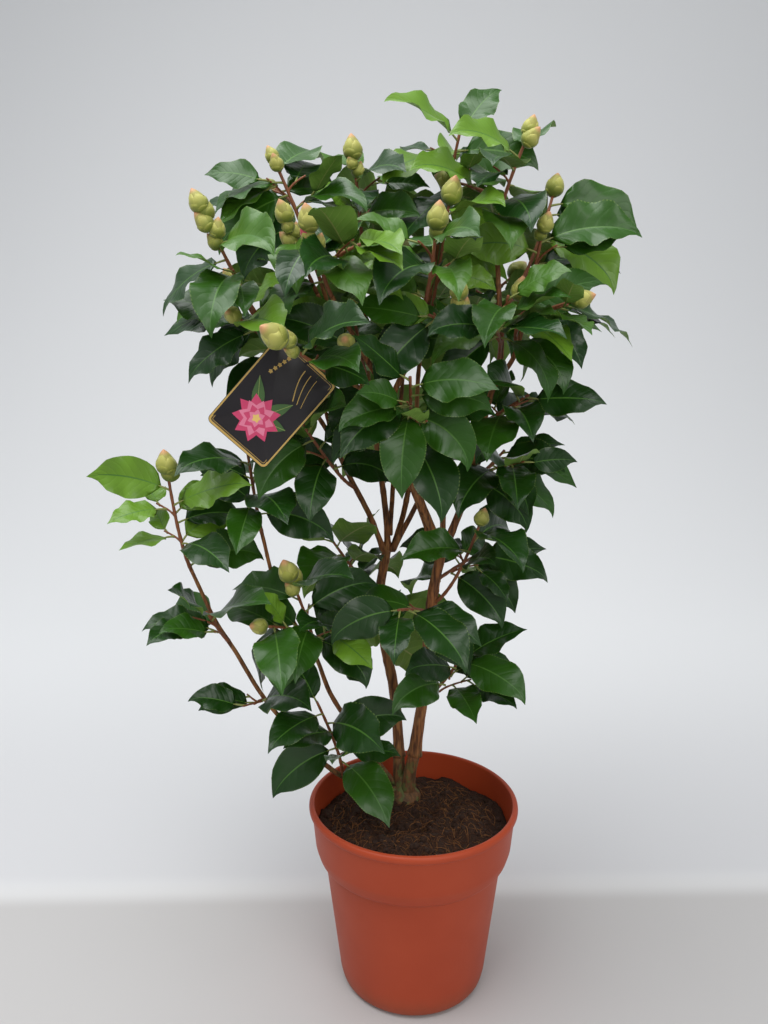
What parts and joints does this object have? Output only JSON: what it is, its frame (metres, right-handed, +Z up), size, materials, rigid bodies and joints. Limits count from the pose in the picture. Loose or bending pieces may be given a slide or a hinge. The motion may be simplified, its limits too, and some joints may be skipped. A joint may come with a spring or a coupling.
{
  "type": "potted camellia shrub",
  "caption": "Young evergreen camellia shrub in flower bud: glossy leaves on forked boughs from one root crown, growing in a round tapered plastic pot with a collar and lip.",
  "frame": {"origin": "middle of the pot's flat underside", "axes": "+Z up, -Y towards the front, +X to the right seen from the front"},
  "size_m": [0.5103, 0.3702, 0.8915],
  "materials": {
    "pot": "matte terracotta plastic",
    "soil": "fibrous peat and coir",
    "bark": "smooth brown bark",
    "foliage": "glossy evergreen leaf",
    "label": "printed plastic card"
  },
  "bodies": {
    "root": {"bough_back": "bark", "bough_back_right": "bark", "bough_centre": "bark", "bough_front": "bark", "bough_front_left": "bark", "bough_front_low": "bark", "bough_inner_left": "bark", "bough_inner_right": "bark", "bough_left": "bark", "bough_peak": "bark", "bough_pruned": "bark", "bough_right": "bark", "bough_right_outer": "bark", "bough_upper_left": "bark", "foliage_back": "foliage", "foliage_back_left": "foliage", "foliage_back_right": "foliage", "foliage_core_right": "foliage", "foliage_far_left": "foliage", "foliage_front": "foliage", "foliage_front_buds": "foliage", "foliage_front_left": "foliage", "foliage_heart": "foliage", "foliage_heart_back": "foliage", "foliage_heart_right": "foliage", "foliage_high_front": "foliage", "foliage_inner_left": "foliage", "foliage_inner_low": "foliage", "foliage_inner_tip": "foliage", "foliage_left_low": "foliage", "foliage_left_shoot": "foliage", "foliage_left_tip": "foliage", "foliage_low_left": "foliage", "foliage_low_right": "foliage", "foliage_middle": "foliage", "foliage_middle_back": "foliage", "foliage_middle_left": "foliage", "foliage_middle_right": "foliage", "foliage_outer_right": "foliage", "foliage_peak": "foliage", "foliage_right_far": "foliage", "foliage_rim_left": "foliage", "foliage_shoulder_left": "foliage", "foliage_shoulder_right": "foliage", "foliage_stem_back": "foliage", "foliage_stem_front": "foliage", "foliage_stem_left": "foliage", "foliage_stem_right": "foliage", "foliage_top": "foliage", "foliage_top_right": "foliage", "foliage_twig_right": "foliage", "foliage_upper_left": "foliage", "label": "label", "pot": "pot", "root_crown": "bark", "shoot_inner": "bark", "shoot_left": "bark", "soil": "soil", "stem_left": "bark", "stem_right": "bark"}
  },
  "joints": []
}
